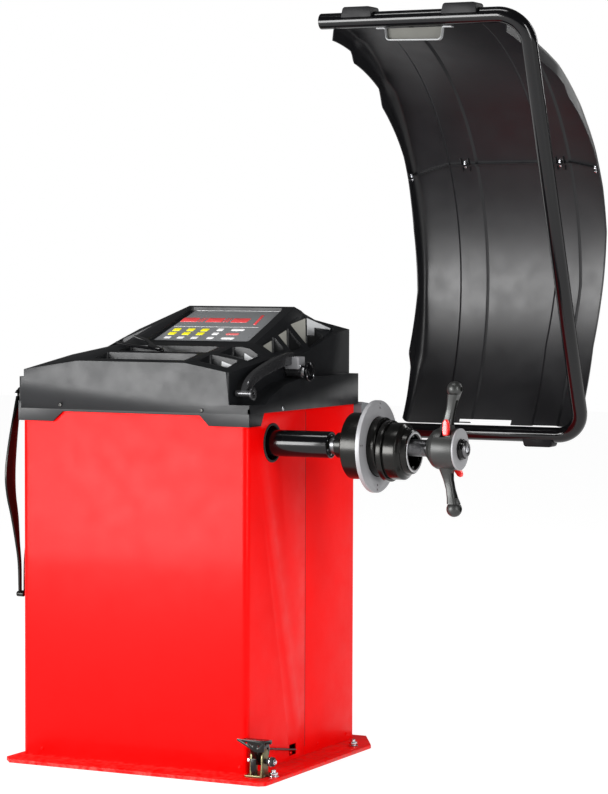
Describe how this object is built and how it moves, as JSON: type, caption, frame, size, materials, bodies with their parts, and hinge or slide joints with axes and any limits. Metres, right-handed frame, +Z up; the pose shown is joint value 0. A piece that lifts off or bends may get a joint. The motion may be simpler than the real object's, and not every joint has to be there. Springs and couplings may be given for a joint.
{
  "type": "wheel balancer",
  "caption": "Floor-standing wheel balancing machine: cabinet with tray top, horizontal spindle with cone and quick nut, distance gauge, foot brake, caliper and swing-over wheel hood.",
  "frame": {"origin": "middle of the cabinet's footprint, at floor level", "axes": "+X along the spindle towards the wheel, +Y to the back of the machine, +Z up"},
  "size_m": [1.1649, 0.7629, 1.637],
  "materials": {
    "red_paint": "gloss powder-coated sheet steel",
    "cover_plastic": "dark grey moulded plastic with a fine texture",
    "guard_plastic": "black moulded plastic, satin",
    "black_plastic": "black plastic",
    "keypad_film": "grey printed film",
    "gloss_black_paint": "gloss black paint",
    "black_oxide": "turned steel with an oiled black oxide finish",
    "machined_steel": "bare turned steel",
    "dark_steel": "dark oiled steel",
    "cast_black": "fine cast surface, dark grey",
    "zinc": "bright zinc plate",
    "olive_zinc": "yellow-olive zinc plate",
    "grey_paint": "grey paint",
    "red_plastic": "red plastic",
    "black_rubber": "black rubber",
    "circuit_board": "green circuit board"
  },
  "bodies": {
    "cabinet": {"base_plate": "red_paint", "anchor_bolt_front": "zinc", "anchor_bolt_rear": "zinc", "cabinet_front_shell": "red_paint", "cabinet_rear_shell": "red_paint", "mains_inlet": "black_plastic", "top_cover": "cover_plastic", "keypad_panel": "keypad_film", "cover_screw_left": "black_oxide", "cover_screw_right": "black_oxide", "cover_screw_side": "zinc", "control_board": "circuit_board", "power_unit": "dark_steel", "support_pillar": "dark_steel", "spindle_housing": "gloss_black_paint", "vertical_sensor": "machined_steel", "horizontal_sensor": "machined_steel", "rear_bearing": "machined_steel", "front_bearing": "machined_steel", "phase_sensor": "black_plastic", "motor": "dark_steel", "motor_bracket": "grey_paint", "drive_belt": "black_rubber", "brake_cable": "black_rubber", "pedal_bracket": "olive_zinc", "pedal_pin": "black_oxide", "gauge_guide": "dark_steel", "hood_bracket": "grey_paint", "pliers_lower": "black_oxide", "pliers_upper": "black_oxide", "caliper_peg": "zinc"},
    "spindle": {"main_shaft": "dark_steel", "flange_hub": "black_oxide", "flange_disc": "machined_steel", "driven_pulley": "dark_steel", "encoder_disc": "machined_steel"},
    "cone": {"centring_cone": "black_oxide"},
    "nut_sleeve": {"nut_sleeve": "black_oxide"},
    "nut": {"nut_body": "cast_black", "nut_end_ring": "machined_steel", "nut_handle_upper": "cast_black", "nut_handle_lower": "cast_black"},
    "lever_upper": {"nut_lever_upper": "red_plastic"},
    "lever_lower": {"nut_lever_lower": "red_plastic"},
    "motor_rotor": {"motor_pulley": "dark_steel"},
    "gauge_slider": {"gauge_slider": "black_plastic"},
    "gauge": {"gauge_rod": "machined_steel", "gauge_arm": "gloss_black_paint", "gauge_knob": "gloss_black_paint"},
    "pedal": {"brake_pedal": "black_oxide"},
    "brake_rod": {"brake_rod": "dark_steel"},
    "brake_arm": {"brake_arm": "dark_steel"},
    "hood": {"hood_tube": "gloss_black_paint", "hood_guard_upper": "guard_plastic", "hood_guard_lower": "guard_plastic", "hood_clamp_upper_left": "guard_plastic", "hood_clamp_upper_right": "guard_plastic", "hood_clamp_lower": "guard_plastic"},
    "caliper_rear": {"caliper_rear_leg": "black_oxide"},
    "caliper_front": {"caliper_front_leg": "black_oxide"}
  },
  "joints": [
    {"name": "spindle_spin", "type": "hinge", "parent": "cabinet", "child": "spindle", "pos_m": [0, -0.151, 0.708], "axis": [1, 0, 0], "continuous": true},
    {"name": "cone_slide", "type": "slide", "parent": "spindle", "child": "cone", "axis": [1, 0, 0], "range_m": [0, 0.02]},
    {"name": "nut_slide", "type": "slide", "parent": "spindle", "child": "nut_sleeve", "axis": [1, 0, 0], "range_m": [-0.01, 0.09]},
    {"name": "nut_spin", "type": "hinge", "parent": "nut_sleeve", "child": "nut", "pos_m": [0.69, -0.151, 0.708], "axis": [1, 0, 0], "continuous": true},
    {"name": "nut_lever_upper_tip", "type": "hinge", "parent": "nut", "child": "lever_upper", "pos_m": [0.697, -0.177, 0.746], "axis": [0, 1, 0], "range_deg": [0, 15], "stiffness_Nm_per_rad": 0.05, "springref_deg": -11.46},
    {"name": "nut_lever_lower_tip", "type": "hinge", "parent": "nut", "child": "lever_lower", "pos_m": [0.697, -0.125, 0.67], "axis": [0, -1, 0], "range_deg": [0, 15], "stiffness_Nm_per_rad": 0.05, "springref_deg": -11.46},
    {"name": "motor_spin", "type": "hinge", "parent": "cabinet", "child": "motor_rotor", "pos_m": [0, -0.02, 0.47], "axis": [1, 0, 0], "continuous": true},
    {"name": "gauge_slide", "type": "slide", "parent": "cabinet", "child": "gauge_slider", "axis": [1, 0, 0], "range_m": [0, 0.23]},
    {"name": "gauge_swing", "type": "hinge", "parent": "gauge_slider", "child": "gauge", "pos_m": [0, -0.024, 0.857], "axis": [1, 0, 0], "range_deg": [-35, 0]},
    {"name": "pedal_press", "type": "hinge", "parent": "cabinet", "child": "pedal", "pos_m": [0, -0.267, 0.042], "axis": [1, 0, 0], "range_deg": [0, 12], "stiffness_Nm_per_rad": 2, "springref_deg": -17.19},
    {"name": "brake_rod_pull", "type": "slide", "parent": "cabinet", "child": "brake_rod", "axis": [0, -0.9858, 0.168], "range_m": [0, 0.005]},
    {"name": "brake_arm_swing", "type": "hinge", "parent": "cabinet", "child": "brake_arm", "pos_m": [0, -0.061, 0.703], "axis": [1, 0, 0], "range_deg": [-2.5, 0]},
    {"name": "hood_swing", "type": "hinge", "parent": "cabinet", "child": "hood", "pos_m": [0, 0.326, 0.713], "axis": [1, 0, 0], "range_deg": [0, 40]},
    {"name": "caliper_swing", "type": "hinge", "parent": "cabinet", "child": "caliper_rear", "pos_m": [0, -0.214, 0.8], "axis": [1, 0, 0], "range_deg": [-20, 20]},
    {"name": "caliper_open", "type": "hinge", "parent": "caliper_rear", "child": "caliper_front", "pos_m": [0, -0.214, 0.8], "axis": [1, 0, 0], "range_deg": [-50, 0]}
  ],
  "couplings": [
    {"joint": "motor_spin", "follows": "spindle_spin", "ratio": 3},
    {"joint": "brake_rod_pull", "follows": "pedal_press", "m_per_rad": 0.0213},
    {"joint": "brake_arm_swing", "follows": "pedal_press", "ratio": -0.17}
  ]
}
